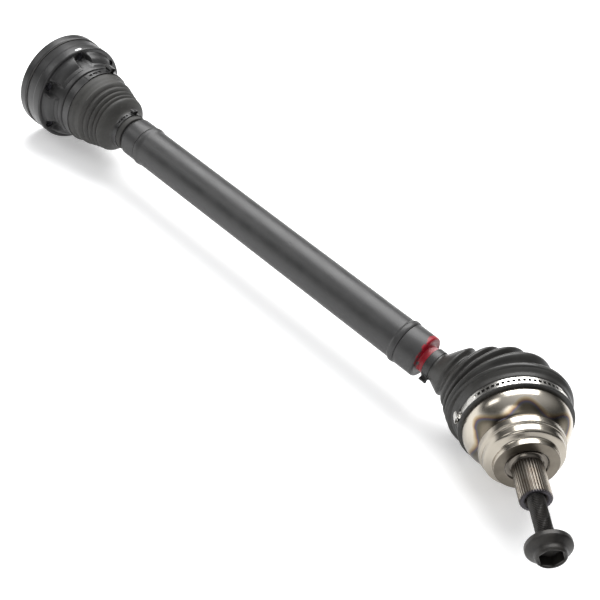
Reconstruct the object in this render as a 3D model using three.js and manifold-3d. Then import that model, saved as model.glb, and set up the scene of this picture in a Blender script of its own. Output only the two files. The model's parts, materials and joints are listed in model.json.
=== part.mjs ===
// CV axle: a tubular drive shaft with a plunging six-bolt ball joint at the gearbox end
// and a fixed ball joint with a splined stub at the wheel end.
// Units are millimetres. X runs along the shaft from the gearbox face to the wheel, Z is up,
// and the wheel end is bent in the XY plane. Wheel-side pieces are built along their own X axis
// with the outer joint's centre at zero, then turned into place.
import * as THREE from 'three';
import { mergeVertices } from 'three/addons/utils/BufferGeometryUtils.js';
import Module from 'manifold-3d';

const wasm = await Module();
wasm.setup();

// ---- Driving dimensions ----
const GAP = 0.3;                  // running gap between touching pieces
const BEND = 43.9;                // outer joint angle at rest, degrees
const OUTER_CENTRE = 585.1;       // outer joint centre along the shaft
const INNER_CENTRE = 21;          // inner joint centre along the shaft
const BALLS = 6;

const FLANGE_R = 50;              // gearbox flange radius
const BOLT_CIRCLE_R = 43;
const BOLT_HOLE_R = 4.2;
const SCALLOP_R = 7.8;            // the flat round each bolt hole
const FACE = 29.6;                // where the bolt heads bear
const BOLT_ANGLE = 53.4;          // first bolt hole, degrees from +Z towards +Y
const CAP_DEPTH = 8.8;            // how far the end cap wraps the outer race
const RACE_R = 48.4;
const RACE_END = 27.9;
const NECK_R = 37.6;              // boot flange neck

const TUBE_R = 18.8;
const TUBE_BORE_R = 15.4;
const COLLAR_R = 20.2;            // weld collars at the tube's ends
const END_PIECE_R = 19.2;         // the forged ends welded to the tube
const TUBE_START = 136.2;
const TUBE_END = 470.4;
const SHANK_R = 12;
const BOOT_SEAT_R = 15.3;         // where the inner boot grips the shaft
const BOOT_END_R = 17.9;

// Each joint's ball radius and pitch, then the inner race's and the cage's radii and half widths.
const INNER_JOINT = {
  ball: 8, pitch: 28, race: 22.6, raceHalf: 7.6, cageIn: 23.2, cageOut: 30.6, cageHalf: 11,
};
const OUTER_JOINT = {
  ball: 7.5, pitch: 27.5, race: 22.2, raceHalf: 9.8, cageIn: 22.8, cageOut: 30.2, cageHalf: 11.5,
};
const TRACK_CLEARANCE = 0.9;      // ball track radius beyond the ball
const SWING_ROOM = 1.34;          // how much wider than deep a track is where the joint tilts

const BELL_R = 43.6;              // outer joint housing
const BELL_MOUTH = -14;           // open end of the bell, before the joint centre
const BELL_BORE_R = 30.8;
const STUB_END = 75.5;
const SPLINE_R = 12.7;
const SPLINE_ROOT_R = 11.6;
const SPLINE_TEETH = 36;
const THREAD_BORE_R = 7.2;
const BOLT_SHANK_R = 6.9;
const BOLT_FLANGE_R = 17.7;
const BOLT_TIP = 56;
const BOLT_SEAT = 114.4;          // the bolt flange's bearing face, along the stub's axis
const BOLT_HEAD_END = 127.6;
const BOLT_COLLAR_R = 11.9;
const HEX_FLATS = 17;
const HEX_DEPTH = 9;

const BOOT_START = 505;           // where the outer boot's flexible part begins
const BOOT_FINISH = -16;          // where it ends, before the outer joint's centre
const BOOT_CUFF_R = 12.9;
const BOOT_WALL = 1.6;
const FOLD_DEPTH = 11;            // on the outside of the bend
const FOLD_SQUEEZE = 0.38;        // share of that depth the bend adds outside and takes away inside
// The ridges of the bent boot, from the small end: centre in the bend's plane, tilt, radius.
const BOOT_RIDGES = [
  { x: 515, y: 8, tilt: 2, radius: 23.5 },
  { x: 527.5, y: 14, tilt: 8, radius: 32.3 },
  { x: 540, y: 17.5, tilt: 16, radius: 41 },
  { x: 554, y: 17.5, tilt: 27, radius: 47 },
  { x: 569.5, y: 12, tilt: 40.5, radius: 50.6 },
];

// The crimped ears of the boot clamps: angle from +Z, length round the boot, height.
const INNER_LARGE_EAR = { angle: 20, length: 9, height: 4.6 };
const INNER_SMALL_EAR = { angle: 10, length: 8, height: 4.4 };
const OUTER_LARGE_EAR = { angle: 266, length: 8, height: 4.6 };
const OUTER_SMALL_EAR = { angle: 222, length: 7, height: 4.4 };

const SEGMENTS = 24;               // facets round a small or hidden piece
const FINE_SEGMENTS = 30;          // facets round a large piece
const TRACK_SEGMENTS = 32;
const TRACK_FACETS = 10;

// ---- Materials ----
const material = (color, roughness, metalness) => () => (
  new THREE.MeshStandardMaterial({ color, roughness, metalness })
);
const jointBlack = material(0x2b2b2e, 0.5, 0.4);
const tubePaint = material(0x35363a, 0.45, 0.3);
const polishedSteel = material(0xb9b2a6, 0.25, 1);
const darkSteel = material(0x6d6a66, 0.4, 1);
const ballSteel = material(0xc4c6c9, 0.12, 1);
const bootRubber = material(0x1d1d1d, 0.75, 0);
const bootPlastic = material(0x26272a, 0.55, 0);
const stainless = material(0xb6b3ad, 0.3, 1);
const boltBlack = material(0x232427, 0.5, 0.6);
const redPaint = material(0xa01226, 0.5, 0.1);
const springSteel = material(0x57534e, 0.4, 0.9);

// ---- Geometry tools ----
const radians = (degrees) => degrees * Math.PI / 180;

// Turns any three.js geometry into a manifold solid.
const solid = (geometry) => {
  const bare = new THREE.BufferGeometry();
  bare.setAttribute('position', geometry.getAttribute('position').clone());
  if (geometry.index) {
    bare.setIndex(geometry.index.clone());
  }
  const merged = mergeVertices(bare, 1e-4);
  const corners = merged.index.array;
  const kept = [];
  for (let i = 0; i < corners.length; i += 3) {
    const [a, b, c] = [corners[i], corners[i + 1], corners[i + 2]];
    if (a !== b && b !== c && c !== a) {
      kept.push(a, b, c);
    }
  }
  return new wasm.Manifold(new wasm.Mesh({
    numProp: 3,
    vertProperties: new Float32Array(merged.getAttribute('position').array),
    triVerts: new Uint32Array(kept),
  }));
};

const toGeometry = (manifold) => {
  const mesh = manifold.getMesh();
  const geometry = new THREE.BufferGeometry();
  geometry.setAttribute('position', new THREE.BufferAttribute(mesh.vertProperties, 3));
  geometry.setIndex(new THREE.BufferAttribute(mesh.triVerts, 1));
  geometry.computeVertexNormals();
  return geometry;
};

// A profile of [along, radius] points turned about the X axis.
const revolve = (profile, segments = SEGMENTS) => {
  const points = profile.map(([along, radius]) => new THREE.Vector2(radius, along));
  return new THREE.LatheGeometry(points, segments).rotateZ(-Math.PI / 2);
};

// A ring: its outside profile, then its inside profile walked back.
const ring = (outside, inside, segments) => (
  revolve([...outside, ...inside.slice().reverse(), outside[0]], segments)
);

const band = (start, end, inner, outer, segments) => (
  ring([[start, outer], [end, outer]], [[start, inner], [end, inner]], segments)
);

const rod = (start, end, radius, segments) => (
  revolve([[start, 0], [start, radius], [end, radius], [end, 0]], segments)
);

// Points on a circle about the joint centre, by angle from the joint's mid plane.
const arc = (radius, from, to, steps) => {
  const points = [];
  for (let i = 0; i <= steps; i += 1) {
    const angle = radians(from + (to - from) * i / steps);
    points.push([radius * Math.sin(angle), radius * Math.cos(angle)]);
  }
  return points;
};

// Puts a geometry built on +Z at an angle about X, measured from +Z towards +Y.
const atAngle = (geometry, degrees) => geometry.rotateX(-radians(degrees));

const ballAngle = (i) => BOLT_ANGLE - 30 + i * 360 / BALLS;

const subtractAll = (base, tools) => tools.reduce((left, tool) => left.subtract(solid(tool)), base);

// ---- Ball joint pieces, built round the joint centre ----

// One torus cuts the two tracks that face each other across the joint.
const trackRings = (joint) => {
  const tools = [];
  for (let i = 0; i < BALLS / 2; i += 1) {
    const tube = joint.ball + TRACK_CLEARANCE;
    const tool = new THREE.TorusGeometry(joint.pitch, tube, TRACK_FACETS, TRACK_SEGMENTS);
    tool.scale(1, 1, SWING_ROOM);
    tool.rotateX(Math.PI / 2);
    tools.push(atAngle(tool, ballAngle(i)));
  }
  return tools;
};

const innerRace = (joint, boreR) => {
  const edge = Math.asin(joint.raceHalf / joint.race) * 180 / Math.PI;
  const outside = arc(joint.race, -edge, edge, 4);
  const inside = [[-joint.raceHalf, boreR], [joint.raceHalf, boreR]];
  return subtractAll(solid(ring(outside, inside)), trackRings(joint));
};

const cage = (joint) => {
  const outerEdge = Math.asin(joint.cageHalf / joint.cageOut) * 180 / Math.PI;
  const innerEdge = Math.asin(joint.cageHalf / joint.cageIn) * 180 / Math.PI;
  const outside = arc(joint.cageOut, -outerEdge, outerEdge, 4);
  const inside = arc(joint.cageIn, -innerEdge, innerEdge, 4);
  const shell = solid(ring(outside, inside));
  const windows = [];
  for (let i = 0; i < BALLS; i += 1) {
    const side = 2 * (joint.ball + GAP);
    const tool = new THREE.BoxGeometry(side, side, joint.cageOut);
    tool.translate(0, 0, joint.cageOut);
    windows.push(atAngle(tool, ballAngle(i)));
  }
  return subtractAll(shell, windows);
};

const ball = (joint, i) => {
  const geometry = new THREE.SphereGeometry(joint.ball, 12, 7);
  geometry.translate(0, 0, joint.pitch);
  return atAngle(geometry, ballAngle(i));
};

// An open spring ring in a groove, with its gap at the top.
const circlip = (at, width, inner, outer) => {
  const gap = new THREE.BoxGeometry(width * 4, 6, outer * 2);
  gap.translate(at, 0, outer);
  return solid(band(at, at + width, inner, outer)).subtract(solid(gap));
};

// ---- Inner joint ----

const boltHoles = (start, end, radius) => {
  const tools = [];
  for (let i = 0; i < BALLS; i += 1) {
    const hole = rod(start, end, radius, 12);
    hole.translate(0, 0, BOLT_CIRCLE_R);
    tools.push(atAngle(hole, BOLT_ANGLE + i * 360 / BALLS));
  }
  return tools;
};

const outerRace = () => {
  const blank = ring(
    [[1.9, 47.4], [2.9, RACE_R], [27.2, RACE_R], [RACE_END, 47.7]],
    [[1.9, 32.2], [2.9, 31.2], [26.9, 31.2], [RACE_END, 32.2]],
    FINE_SEGMENTS,
  );
  const tracks = [];
  for (let i = 0; i < BALLS; i += 1) {
    const track = rod(0, RACE_END + 2, INNER_JOINT.ball + 0.5, 16);
    track.translate(0, 0, INNER_JOINT.pitch);
    tracks.push(atAngle(track, ballAngle(i)));
  }
  return subtractAll(solid(blank), [...tracks, ...boltHoles(0, 30, BOLT_HOLE_R)]);
};

// A pressed cover: flat centre, a shallow groove, the bolt ring, and a skirt round the race.
const endCap = () => {
  const cover = revolve([
    [0, 0], [0, 24], [0.9, 26], [0.9, 33], [0, 35], [0, FLANGE_R - 0.6], [0.6, FLANGE_R],
    [CAP_DEPTH - 0.5, FLANGE_R], [CAP_DEPTH, FLANGE_R - 0.5], [CAP_DEPTH, RACE_R + GAP],
    [1.6, RACE_R + GAP], [1.6, 0],
  ], FINE_SEGMENTS);
  return subtractAll(solid(cover), boltHoles(-1, 5, BOLT_HOLE_R));
};

const gasket = () => (
  band(CAP_DEPTH + GAP, CAP_DEPTH + 1.2, RACE_R + GAP, FLANGE_R + 0.3, FINE_SEGMENTS)
);

// The stamped flange: a skirt round the race, a flat face with the bolt holes, and the boot's neck.
// The neck flares out to the rim, and a flat is pressed into the flare round each bolt hole.
const bootFlange = () => {
  const skirtR = RACE_R + 1.2;
  const sheet = solid(ring(
    [
      [10.4, 49.3], [19.6, 49.3], [20.6, skirtR], [28.6, skirtR], [FACE, 48.6], [FACE, 41], [31, 39.4],
      [35, 38.4], [48.8, NECK_R], [49.3, 35.6], [50, 34.6], [59.6, 34.6], [60.4, 33.9],
    ],
    [
      [10.4, RACE_R + GAP], [28.3, RACE_R + GAP], [28.3, 40.2], [30, 38.2], [34.4, 37.2], [47.8, 36.4],
      [48.6, 34.2], [49.6, 33.2], [60.4, 33.2],
    ],
    FINE_SEGMENTS,
  ));
  const flare = solid(ring(
    [[29.5, 46], [31.5, 45.3], [34, 44], [36.8, 42], [40, 39.8], [44, 38.5]],
    [[28.9, 46], [28.9, 40.6], [30.5, 38.8], [34.7, 37.8], [44, 37.3]],
    FINE_SEGMENTS,
  ));
  const pads = subtractAll(flare, boltHoles(FACE, 50, SCALLOP_R));
  return subtractAll(sheet.add(pads), boltHoles(20, 40, BOLT_HOLE_R));
};

// A ring round a boot with a crimped ear standing on it.
const clamp = (start, end, inner, thickness, ear) => {
  const width = end - start;
  const hoop = solid(band(start, end, inner, inner + thickness, FINE_SEGMENTS));
  const loop = new THREE.BoxGeometry(width * 0.96, ear.length, ear.height);
  loop.translate((start + end) / 2, 0, inner + thickness / 2 + ear.height / 2);
  return hoop.add(solid(atAngle(loop, ear.angle)));
};

const innerBoot = () => {
  const outside = [
    [49.9, 36.6], [59.8, 36.6], [61.4, 36.1], [66.6, 34.5], [69.4, 34.8], [72, 34.4], [74, 32.6],
    [75.3, 31.5], [76.7, 32.2], [78.4, 32.4], [80, 31], [81.2, 29.6], [82.4, 30.4], [84, 30.8],
    [85.4, 29.4], [86.4, 28.3], [87.4, 29], [88.8, 29.6], [90, 28.4], [90.8, 27.6], [92, 28.4],
    [93.4, 28.6], [96.4, 27], [99.6, 23.4], [101.8, 19.8], [103.4, BOOT_END_R], [114.8, BOOT_END_R],
  ];
  const inside = [
    [49.9, 34.9], [60.8, 34.9], [66.6, 32.8], [75.3, 29.9], [81.2, 27.9], [86.4, 26.6], [90.8, 25.9],
    [93.6, 25.6], [98, 22.2], [100.4, 18.4], [102, BOOT_SEAT_R + GAP], [114.8, BOOT_SEAT_R + GAP],
  ];
  return ring(outside, inside, FINE_SEGMENTS);
};

const innerStub = () => revolve([
  [11.2, 0], [11.2, 9.8], [12, 10.6], [13.2, 10.6], [13.2, 12], [30, 12], [31, 11.6], [95, 11.6],
  [98, BOOT_SEAT_R], [115.4, BOOT_SEAT_R], [116.6, 13.6], [117.8, 13.6], [117.8, 16.8],
  [118.4, 18.4], [119.8, END_PIECE_R], [TUBE_START - GAP, END_PIECE_R], [TUBE_START - GAP, 12],
  [128, 9], [128, 0],
]);

// ---- Shaft ----

const tube = () => ring(
  [
    [TUBE_START, END_PIECE_R], [TUBE_START + 1, COLLAR_R], [TUBE_START + 4.4, COLLAR_R],
    [TUBE_START + 6.4, TUBE_R], [TUBE_END - 5.6, TUBE_R], [TUBE_END - 4.4, COLLAR_R],
    [TUBE_END - 1, COLLAR_R], [TUBE_END, END_PIECE_R],
  ],
  [[TUBE_START, TUBE_BORE_R], [TUBE_END, TUBE_BORE_R]],
);

const outerStub = () => {
  const shoulder = OUTER_CENTRE - 15;
  return revolve([
    [480, 0], [480, 9], [TUBE_END + GAP, 12], [TUBE_END + GAP, END_PIECE_R], [489, END_PIECE_R],
    [490.8, 17.6], [491.2, 16], [491.2, SHANK_R + 1], [492.2, SHANK_R], [BOOT_START - 2, SHANK_R],
    [BOOT_START - 1, 11], [shoulder - 5, 11], [shoulder - 3, 13], [shoulder, 13], [shoulder, 11.6],
    [OUTER_CENTRE + 10.2, 11.6], [OUTER_CENTRE + 10.2, 10.6], [OUTER_CENTRE + 11.6, 10.6],
    [OUTER_CENTRE + 11.6, 11.2], [OUTER_CENTRE + 12.4, 10.2], [OUTER_CENTRE + 12.4, 0],
  ]);
};

// ---- Outer joint ----

const splineTeeth = (start, end) => {
  const outline = new THREE.Shape();
  const pitch = 2 * Math.PI / SPLINE_TEETH;
  for (let tooth = 0; tooth < SPLINE_TEETH; tooth += 1) {
    const corners = [[0.08, SPLINE_ROOT_R], [0.36, SPLINE_R], [0.64, SPLINE_R], [0.92, SPLINE_ROOT_R]];
    for (const [share, radius] of corners) {
      const angle = (tooth + share) * pitch;
      const place = [radius * Math.cos(angle), radius * Math.sin(angle)];
      if (tooth === 0 && share < 0.1) {
        outline.moveTo(...place);
      } else {
        outline.lineTo(...place);
      }
    }
  }
  outline.closePath();
  const teeth = new THREE.ExtrudeGeometry(outline, { depth: end - start, bevelEnabled: false });
  return teeth.rotateY(Math.PI / 2).translate(start, 0, 0);
};

const housing = () => {
  const shell = solid(revolve([
    [24.2, 0], [24.2, 19], ...arc(BELL_BORE_R, 51.8, -14.3, 6), [BELL_MOUTH, 33.2],
    [BELL_MOUTH, 41.4], [BELL_MOUTH + 0.9, 42.6], [-0.2, 42.6], [0.6, BELL_R], [6, 43.2],
    [10.4, 41.4], [14.2, 38.6], [17.2, 35.4], [18.8, 33.4], [20, 33.3], [20.6, 34.3],
    [26.4, 34.3], [27.1, 33.3], [28, 32.4], [33, 32.1], [34.2, 31], [35.2, 28.4],
    [35.9, 26.2], [40.9, 25.7], [41.3, 25.3], [41.3, 17.2],
    [39.6, 16.4], [39.6, 13.6], [40.6, SPLINE_ROOT_R], [STUB_END, SPLINE_ROOT_R], [STUB_END, 9.4],
    [73.4, THREAD_BORE_R], [34, THREAD_BORE_R], [31, 3], [31, 0],
  ], FINE_SEGMENTS));
  const chamfer = solid(revolve([
    [30, 0], [30, 40], [70, SPLINE_R + 3.2], [STUB_END - 1.2, SPLINE_R],
    [STUB_END - GAP, SPLINE_ROOT_R + 0.2], [STUB_END - GAP, 0],
  ]));
  const sleeve = solid(band(43, STUB_END + 1, SPLINE_ROOT_R - 1.5, SPLINE_R + 4));
  const teeth = solid(splineTeeth(43, STUB_END)).intersect(chamfer).intersect(sleeve);
  const mouthSide = solid(rod(-60, 24.2, 60));
  const tracks = trackRings(OUTER_JOINT);
  return tracks.reduce(
    (left, track) => left.subtract(solid(track).intersect(mouthSide)),
    shell.add(teeth),
  );
};

const axleBolt = () => {
  const blank = solid(revolve([
    [BOLT_TIP, 0], [BOLT_TIP, 5.6], [BOLT_TIP + 1.3, BOLT_SHANK_R], [BOLT_SEAT - 1, BOLT_SHANK_R],
    [BOLT_SEAT, BOLT_SHANK_R + 1], [BOLT_SEAT, BOLT_FLANGE_R - 1], [BOLT_SEAT + 1, BOLT_FLANGE_R],
    [BOLT_SEAT + 4.6, BOLT_FLANGE_R], [BOLT_SEAT + 5.5, 16.8], [BOLT_SEAT + 8.2, BOLT_COLLAR_R + 0.6],
    [BOLT_HEAD_END - 1, BOLT_COLLAR_R], [BOLT_HEAD_END, BOLT_COLLAR_R - 0.8], [BOLT_HEAD_END, 0],
  ]));
  const corner = HEX_FLATS / Math.sqrt(3);
  const socket = new THREE.CylinderGeometry(corner, corner, 2 * HEX_DEPTH, 6);
  socket.rotateZ(Math.PI / 2);
  socket.translate(BOLT_HEAD_END, 0, 0);
  return blank.subtract(solid(socket));
};

// ---- Outer boot ----

const wheelAxis = new THREE.Vector3(Math.cos(radians(BEND)), -Math.sin(radians(BEND)), 0);
const bootEnd = new THREE.Vector3(OUTER_CENTRE, 0, 0).addScaledVector(wheelAxis, BOOT_FINISH);
const bootRings = [
  { x: BOOT_START, y: 0, tilt: 0, radius: BOOT_CUFF_R },
  ...BOOT_RIDGES,
  { x: bootEnd.x, y: bootEnd.y, tilt: BEND, radius: 49.2 },
];
const bootCentres = new THREE.CatmullRomCurve3(
  bootRings.map((place) => new THREE.Vector3(place.x, place.y, 0)), false, 'catmullrom',
);
const bootShapes = new THREE.CatmullRomCurve3(
  bootRings.map((place) => new THREE.Vector3(place.tilt, place.radius, 0)), false, 'catmullrom',
);
const FOLD_PITCH = 10;              // straight length given to each fold before the boot is bent
const BOOT_SPAN = FOLD_PITCH * (bootRings.length - 1);

// How deep the boot lies in a valley: 0 on a ridge and on the plain ends, 1 in a valley.
const valley = (share) => {
  const fold = share * (bootRings.length - 1);
  const folded = fold > 1 && fold < BOOT_RIDGES.length;
  return folded ? (1 - Math.cos(2 * Math.PI * fold)) / 2 : 0;
};

const bootRadius = (share) => (
  bootShapes.getPoint(share).y - FOLD_DEPTH * (1 - FOLD_SQUEEZE) * valley(share)
);

// Bends a boot built straight, with its flexible part from 0 to BOOT_SPAN, into its rest shape.
const bendBoot = (geometry) => {
  const places = geometry.getAttribute('position');
  for (let i = 0; i < places.count; i += 1) {
    const along = places.getX(i);
    const share = THREE.MathUtils.clamp(along / BOOT_SPAN, 0, 1);
    const tilt = radians(bootShapes.getPoint(share).x);
    const side = places.getY(i) - FOLD_DEPTH * FOLD_SQUEEZE * valley(share);
    const point = bootCentres.getPoint(share);
    point.x += Math.min(along, 0) + side * Math.sin(tilt);
    point.y += side * Math.cos(tilt);
    point.addScaledVector(wheelAxis, Math.max(along - BOOT_SPAN, 0));
    places.setXY(i, point.x, point.y);
  }
  return geometry;
};

const outerBoot = () => {
  const outside = [[-8.6, BOOT_CUFF_R], [0, BOOT_CUFF_R]];
  const inside = [[-8.6, SHANK_R + GAP], [0, SHANK_R + GAP]];
  for (let along = FOLD_PITCH / 2; along <= BOOT_SPAN; along += FOLD_PITCH / 4) {
    outside.push([along, bootRadius(along / BOOT_SPAN)]);
  }
  for (let fold = 1; fold < BOOT_RIDGES.length; fold += 1) {
    const along = (fold + 0.5) * FOLD_PITCH;
    inside.push([along, bootRadius(along / BOOT_SPAN) - BOOT_WALL]);
  }
  const largeEnd = BOOT_SPAN - BOOT_FINISH;
  outside.push([BOOT_SPAN + 1.8, 47.2], [BOOT_SPAN + 5.8, 46.2], [BOOT_SPAN + 6.8, 44.8]);
  outside.push([largeEnd - 2, 44.8], [largeEnd - 1.7, 46.8], [largeEnd - 0.3, 46.8]);
  inside.push([BOOT_SPAN + 1.2, 42.9], [largeEnd - 0.3, 42.9]);
  return bendBoot(ring(outside, inside, FINE_SEGMENTS));
};

// ---- Assembly ----

const axle = new THREE.Group();
const innerJoint = new THREE.Group();
innerJoint.position.x = INNER_CENTRE;
const shaftEnd = new THREE.Group();
shaftEnd.position.x = OUTER_CENTRE;
const cageSide = new THREE.Group();
cageSide.position.x = OUTER_CENTRE;
cageSide.rotation.z = -radians(BEND / 2);
const wheelSide = new THREE.Group();
wheelSide.position.x = OUTER_CENTRE;
wheelSide.rotation.z = -radians(BEND);
axle.add(innerJoint, shaftEnd, cageSide, wheelSide);

const place = (group, name, shape, makeMaterial) => {
  const geometry = shape.isBufferGeometry ? shape : toGeometry(shape);
  const mesh = new THREE.Mesh(geometry, makeMaterial());
  mesh.name = name;
  group.add(mesh);
};

place(axle, 'shaft_tube', tube(), tubePaint);
place(axle, 'inner_stub_shaft', innerStub(), tubePaint);
place(axle, 'outer_stub_shaft', outerStub(), redPaint);

place(axle, 'inner_end_cap', endCap(), jointBlack);
place(axle, 'inner_gasket', gasket(), bootRubber);
place(axle, 'inner_outer_race', outerRace(), jointBlack);
place(axle, 'inner_boot_flange', bootFlange(), jointBlack);
place(innerJoint, 'inner_cage', cage(INNER_JOINT), darkSteel);
place(innerJoint, 'inner_race', innerRace(INNER_JOINT, 12.4), darkSteel);
place(axle, 'inner_circlip', circlip(12.15, 0.9, 10.9, 13.4), springSteel);
place(axle, 'inner_boot', innerBoot(), bootRubber);
place(axle, 'inner_large_clamp', clamp(50.8, 59, 36.9, 0.7, INNER_LARGE_EAR), boltBlack);
place(axle, 'inner_small_clamp', clamp(104, 109.6, 18.2, 0.7, INNER_SMALL_EAR), boltBlack);

place(wheelSide, 'outer_housing', housing(), polishedSteel);
place(cageSide, 'outer_cage', cage(OUTER_JOINT), darkSteel);
place(shaftEnd, 'outer_race', innerRace(OUTER_JOINT, 12), darkSteel);
place(axle, 'outer_circlip', circlip(OUTER_CENTRE + 10.45, 0.9, 10.9, 13), springSteel);
place(axle, 'outer_dished_washer', ring(
  [[OUTER_CENTRE - 12.6, 14], [OUTER_CENTRE - 11.4, 16.4]],
  [[OUTER_CENTRE - 11.4, 12], [OUTER_CENTRE - 10.2, 12]],
  SEGMENTS,
), springSteel);
place(axle, 'outer_thrust_ring', band(OUTER_CENTRE - 14.7, OUTER_CENTRE - 13, 12, 16.4), bootPlastic);
place(axle, 'outer_boot', outerBoot(), bootPlastic);
place(axle, 'outer_small_clamp', clamp(497, 503.4, 13.2, 0.7, OUTER_SMALL_EAR), boltBlack);
place(wheelSide, 'outer_large_clamp', clamp(-9, -2.2, 45.1, 0.8, OUTER_LARGE_EAR), stainless);
place(wheelSide, 'axle_bolt', axleBolt(), boltBlack);

for (let i = 0; i < BALLS; i += 1) {
  place(innerJoint, `inner_ball_${i + 1}`, ball(INNER_JOINT, i), ballSteel);
  place(cageSide, `outer_ball_${i + 1}`, ball(OUTER_JOINT, i), ballSteel);
}

export default axle;
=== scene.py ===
"""CV axle on a pale floor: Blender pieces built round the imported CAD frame."""
import json
import math

import bpy
from mathutils import Matrix, Vector


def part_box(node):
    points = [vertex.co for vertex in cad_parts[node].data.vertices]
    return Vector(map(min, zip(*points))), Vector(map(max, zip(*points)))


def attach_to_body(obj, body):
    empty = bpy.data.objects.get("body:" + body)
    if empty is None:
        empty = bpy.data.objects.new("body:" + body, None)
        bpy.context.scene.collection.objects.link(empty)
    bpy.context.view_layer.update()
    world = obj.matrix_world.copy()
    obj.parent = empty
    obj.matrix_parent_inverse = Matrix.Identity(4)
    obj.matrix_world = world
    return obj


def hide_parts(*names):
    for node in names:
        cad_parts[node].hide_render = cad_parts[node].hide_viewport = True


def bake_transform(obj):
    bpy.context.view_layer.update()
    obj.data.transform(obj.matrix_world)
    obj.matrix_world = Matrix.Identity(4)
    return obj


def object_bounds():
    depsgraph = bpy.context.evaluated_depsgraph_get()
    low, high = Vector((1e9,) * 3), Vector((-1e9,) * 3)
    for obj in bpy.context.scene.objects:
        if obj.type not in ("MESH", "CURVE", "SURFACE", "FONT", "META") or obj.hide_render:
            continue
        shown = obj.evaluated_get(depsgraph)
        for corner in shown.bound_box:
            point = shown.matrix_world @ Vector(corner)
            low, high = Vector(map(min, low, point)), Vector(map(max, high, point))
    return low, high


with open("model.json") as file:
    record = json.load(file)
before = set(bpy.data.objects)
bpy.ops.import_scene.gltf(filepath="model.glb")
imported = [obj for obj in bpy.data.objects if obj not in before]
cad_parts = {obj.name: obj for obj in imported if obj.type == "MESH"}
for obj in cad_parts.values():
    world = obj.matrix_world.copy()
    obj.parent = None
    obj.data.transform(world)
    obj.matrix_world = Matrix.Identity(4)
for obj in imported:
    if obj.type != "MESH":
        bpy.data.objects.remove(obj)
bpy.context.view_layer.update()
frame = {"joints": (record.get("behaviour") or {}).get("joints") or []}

MM = 0.001
TURN = 2 * math.pi

# ---------------------------------------------------------------- places from the frame
joints = {joint["name"]: joint for joint in frame["joints"]}
OUTER = Vector(joints["outer_bend"]["pos_m"])
WHEEL_AXIS = Vector(joints["bolt_travel"]["axis"]).normalized()
BEND = math.atan2(-WHEEL_AXIS.y, WHEEL_AXIS.x)
SHAFT_FRAME = Matrix.Identity(4)
WHEEL_FRAME = Matrix.Translation(OUTER) @ Matrix.Rotation(-BEND, 4, "Z")


def span(node):
    """Where a CAD node starts and ends along the shaft, and its largest radius, in millimetres."""
    low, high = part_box(node)
    return low.x / MM, high.x / MM, high.z / MM


TUBE_START, TUBE_END, COLLAR_R = span("shaft_tube")
_, CAP_END, CAP_R = span("inner_end_cap")
FLANGE_START = span("inner_boot_flange")[0]
GASKET_START, GASKET_END, GASKET_R = span("inner_gasket")
STUB_SHAFT_END = span("outer_stub_shaft")[1]
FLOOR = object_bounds()[0].z

# ---------------------------------------------------------------- driving dimensions, millimetres
# shaft
TUBE_R = 18.8
TUBE_BORE_R = 15.4
WELD_GAP = 0.3                    # between the tube and each end piece
END_PIECE_R = 19.2
SHANK_R = 12.0

# inner joint
BALLS = 6                         # and as many bolt holes
BOLT_CIRCLE_R = 43.0
BOLT_HOLE_R = 4.2
BOLT_ANGLE = 53.4                 # first flange hole, degrees from +Z towards +Y
SCALLOP_R = 7.8                   # the flat pressed round each hole
RACE_CLEAR_R = 48.7               # inside of the skirts that cover the outer race
SHEET_FACE = 29.6                 # the boot flange's flat face
NECK_R = 37.6
NECK_FOOT = 30.4                  # where the neck rises from a flat
FLARE_R = 39.6                    # where the neck starts to flare
FLARE_FOOT = 40.2                 # how far along that is
FLARE_END = 44.0                  # where the flare has become a plain neck
FLARE = (                         # radius, along: from the neck out to the rim
    (39.6, 40.2), (40.4, 39.4), (41.4, 38.5), (42.4, 37.4), (43.3, 36.1),
    (44.0, 34.6), (44.6, 32.8), (45.2, 30.8), (46.0, 29.6),
)

# inner boot
INNER_BOOT_CUTS = (67.0, 81.3)    # where it is split into its three lengths
INNER_SEAT_END = 60.5             # end of its seat on the flange
INNER_DOME_FOOT = 103.0           # where its dome meets its seat on the shaft

# outer joint's stub and axle bolt, along the wheel axis
SPLINE_R = 12.7
SPLINE_ROOT_R = 11.6
SPLINE_TEETH = 36
STUB_END = 75.5
THREAD_BORE_R = 7.2
THREAD_R = 6.9
THREAD_PITCH = 1.5
BOLT_TIP = 56.0
BOLT_SEAT = 114.4
BOLT_FLANGE_R = 17.7
BOLT_COLLAR_R = 11.9
BOLT_HEAD_END = 127.6
HEX_FLATS = 17.0

# outer boot
BOOT_START = 505.0
BOOT_START_R = 12.9
BOOT_FINISH = -16.0               # along the wheel axis, from the outer joint's centre
BOOT_SPLIT = -22.0                # likewise, where the boot's two lengths meet
FOLD_PITCH = 10.0
FOLD_DEPTH = 11.0
FOLD_SQUEEZE = 0.38               # share of the depth the bend adds outside and takes away inside
BOOT_RIDGES = (                   # centre in the bend's plane, tilt, radius
    (515, 8, 2, 23.5), (527.5, 14, 8, 32.3), (540, 17.5, 16, 41),
    (554, 17.5, 27, 47), (569.5, 12, 40.5, 50.6),
)
BOOT_SPAN = FOLD_PITCH * (len(BOOT_RIDGES) + 1)

# outer clamp and floor
LARGE_BAND_R = 45.32              # middle of the bright band's strip
LARGE_TONGUE_R = 45.76            # and of the tongue that laps it
FLOOR_REACH = 60000               # far enough that no edge shows from a low viewpoint

# ---------------------------------------------------------------- tones
BELL_TONE = (0.51, 0.47, 0.405)
SPLINE_TONE = (0.21, 0.195, 0.17)


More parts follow.
